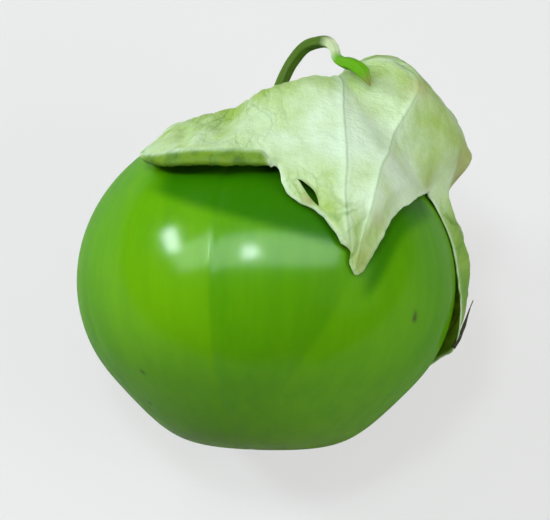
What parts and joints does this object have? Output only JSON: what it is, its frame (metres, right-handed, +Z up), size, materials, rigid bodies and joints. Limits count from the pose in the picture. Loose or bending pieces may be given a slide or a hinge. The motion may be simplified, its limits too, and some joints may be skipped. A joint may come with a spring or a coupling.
{
  "type": "tomatillo",
  "caption": "Glossy green tomatillo lying on its side, its papery husk torn open and pushed back over the top, with an arched stalk.",
  "frame": {"origin": "centre of the small flat on the underside of the berry that the tomatillo lies on", "axes": "+Z up, +Y towards the stalk end, which is tipped up behind, +X towards the long lobe of the husk"},
  "size_m": [0.0519, 0.0512, 0.0498],
  "materials": {
    "berry_skin": "waxy, glossy skin of a fresh green berry",
    "papery_husk": "dry, thin, veined and matte",
    "green_stalk": "fibrous, faintly ridged and satin"
  },
  "bodies": {
    "root": {"fruit": "berry_skin", "husk": "papery_husk", "stem": "green_stalk"}
  },
  "joints": []
}
